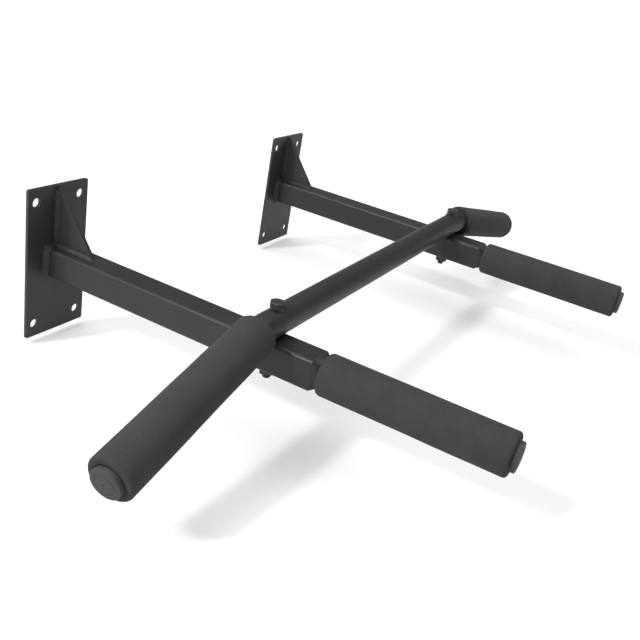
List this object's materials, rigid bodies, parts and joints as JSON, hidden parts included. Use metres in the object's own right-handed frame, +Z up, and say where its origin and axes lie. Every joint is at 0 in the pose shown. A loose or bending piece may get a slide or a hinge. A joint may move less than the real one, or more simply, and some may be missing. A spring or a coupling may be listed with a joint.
{
  "type": "pull up bar",
  "caption": "Wall-mounted pull up bar: welded square-tube brackets with gussets, a bolted round crossbar with bent ends, foam grips and end caps.",
  "frame": {"origin": "on the wall plane, which holds the backs of both wall plates, midway between the two brackets and at the height of the arms' centre line; this is also the centre of the rectangle of the four outermost wall holes", "axes": "+X along the wall from the left bracket to the right one as seen by a person who faces the wall, +Y into the wall so that the arms point along -Y, +Z up"},
  "size_m": [1.1196, 0.6325, 0.2],
  "materials": {
    "plate_powder_coat": "black satin powder coat on flat steel plate",
    "arm_powder_coat": "black satin powder coat on square steel tube",
    "bar_powder_coat": "black satin powder coat on round steel tube",
    "weld_powder_coat": "black powder coat over rippled weld bead",
    "grip_foam": "matt charcoal closed-cell foam",
    "cap_plastic": "matt dark grey moulded plastic",
    "fastener_steel": "black oxide steel, slightly glossy"
  },
  "bodies": {
    "root": {"left_wall_plate": "plate_powder_coat", "left_arm_tube": "arm_powder_coat", "left_arm_weld": "weld_powder_coat", "left_gusset": "plate_powder_coat", "left_gusset_welds": "weld_powder_coat", "left_arm_collar": "arm_powder_coat", "left_handle_tube": "bar_powder_coat", "left_handle_grip": "grip_foam", "left_handle_cap": "cap_plastic", "left_bar_grip": "grip_foam", "left_bar_cap": "cap_plastic", "right_wall_plate": "plate_powder_coat", "right_arm_tube": "arm_powder_coat", "right_arm_weld": "weld_powder_coat", "right_gusset": "plate_powder_coat", "right_gusset_welds": "weld_powder_coat", "right_arm_collar": "arm_powder_coat", "right_handle_tube": "bar_powder_coat", "right_handle_grip": "grip_foam", "right_handle_cap": "cap_plastic", "right_bar_grip": "grip_foam", "right_bar_cap": "cap_plastic", "crossbar_tube": "bar_powder_coat", "crossbar_bolts": "fastener_steel", "saddle_washers": "fastener_steel", "flat_washers": "fastener_steel", "crossbar_nuts": "fastener_steel"}
  },
  "joints": []
}
